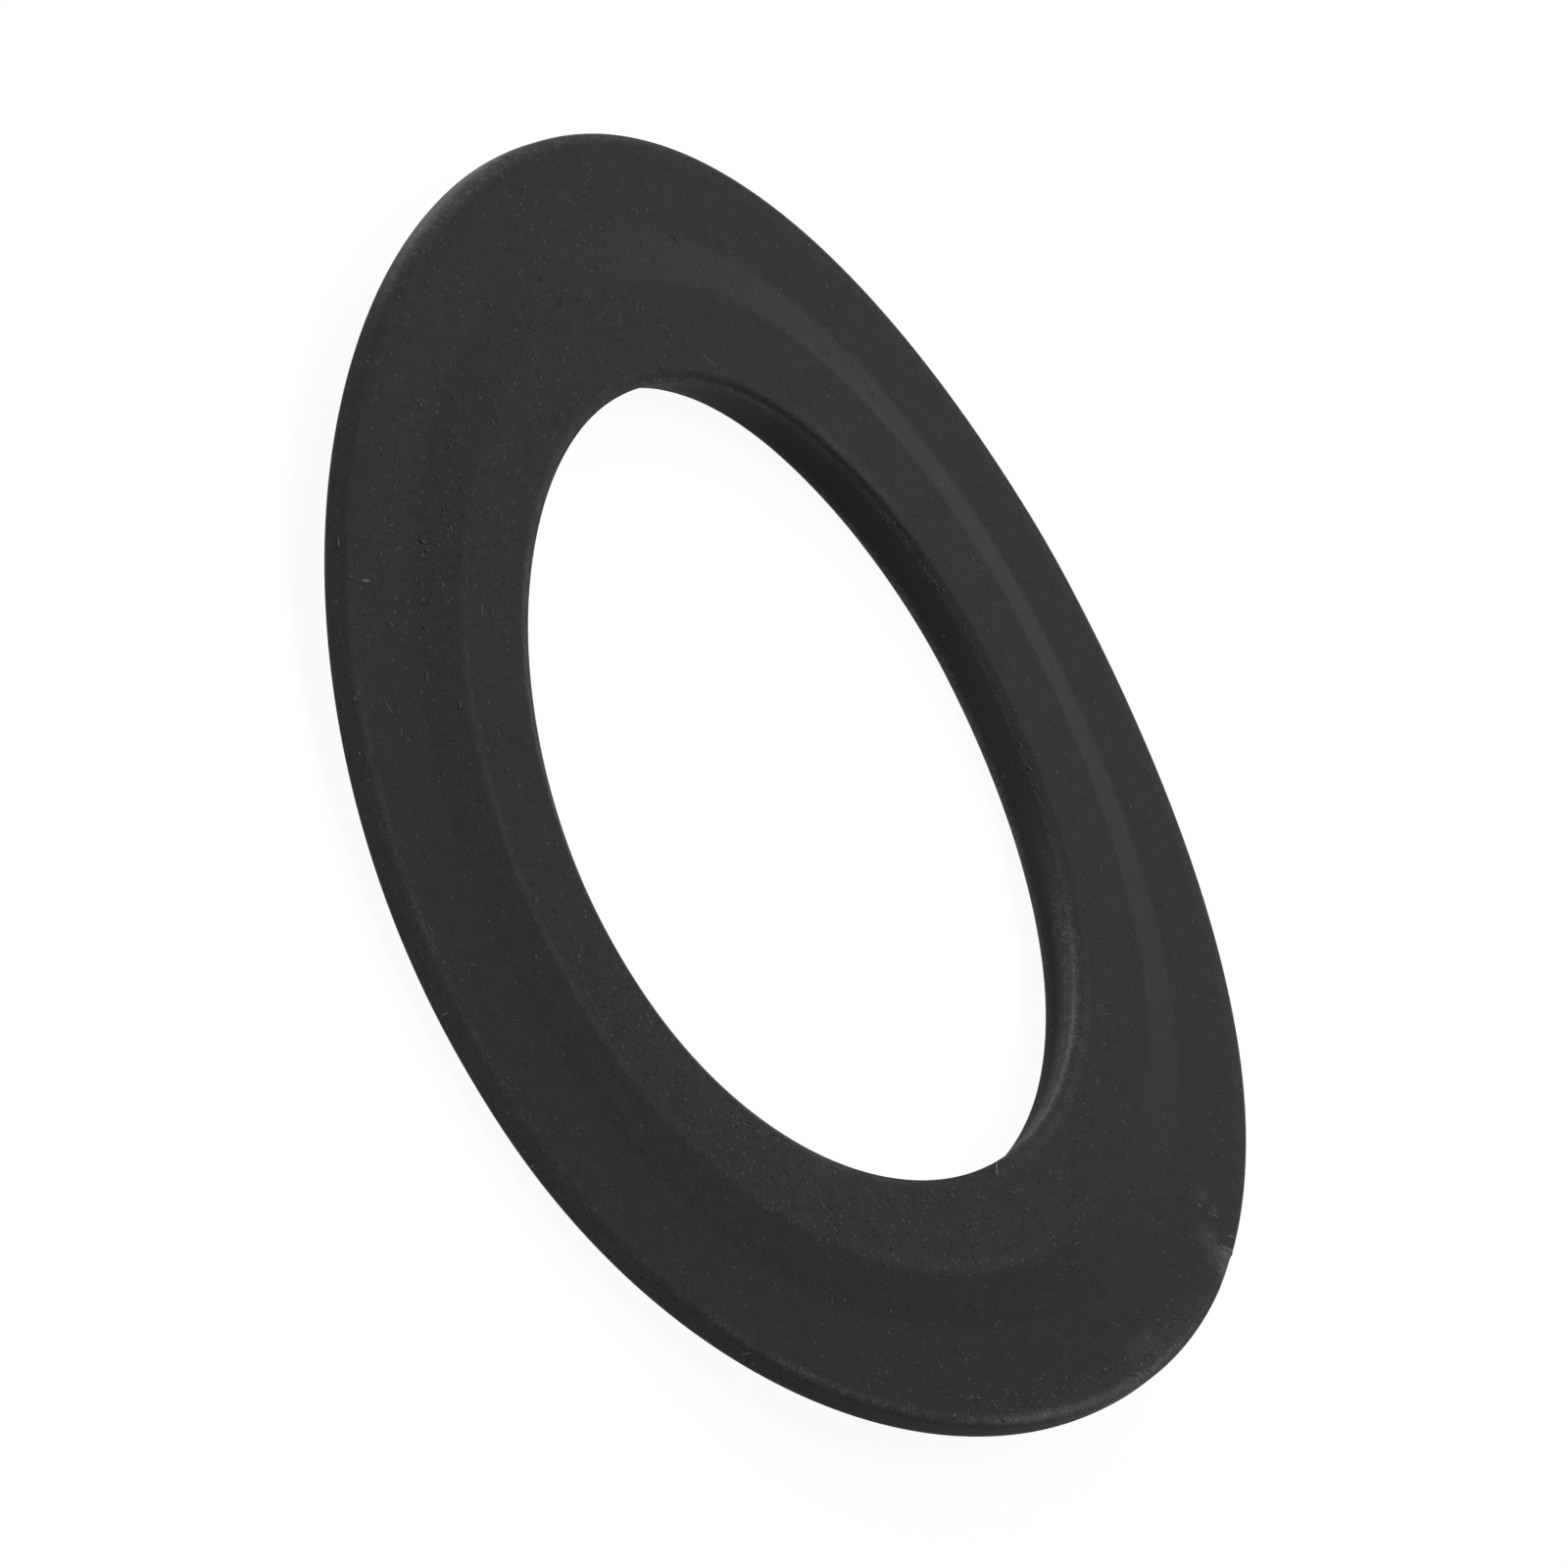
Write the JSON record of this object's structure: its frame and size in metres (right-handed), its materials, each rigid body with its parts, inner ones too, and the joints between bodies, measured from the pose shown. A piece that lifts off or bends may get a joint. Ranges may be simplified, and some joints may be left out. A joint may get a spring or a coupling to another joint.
{
  "type": "flush valve seal",
  "caption": "Moulded black rubber washer with a wide flange, low raised hubs and a large bore; it seals the outlet of a cistern flush valve.",
  "frame": {"origin": "under the centre of the bore, at the surface that the seal lies on", "axes": "+Z out of the front face along the bore's axis; X from one raised end to the other; Y along the line that the seal is curled about"},
  "size_m": [0.0627, 0.063, 0.0055],
  "materials": {
    "black_rubber": "matt moulded rubber with a fine grain, rubbed pale in places along the rim"
  },
  "bodies": {
    "root": {"flush_valve_seal": "black_rubber"}
  },
  "joints": []
}
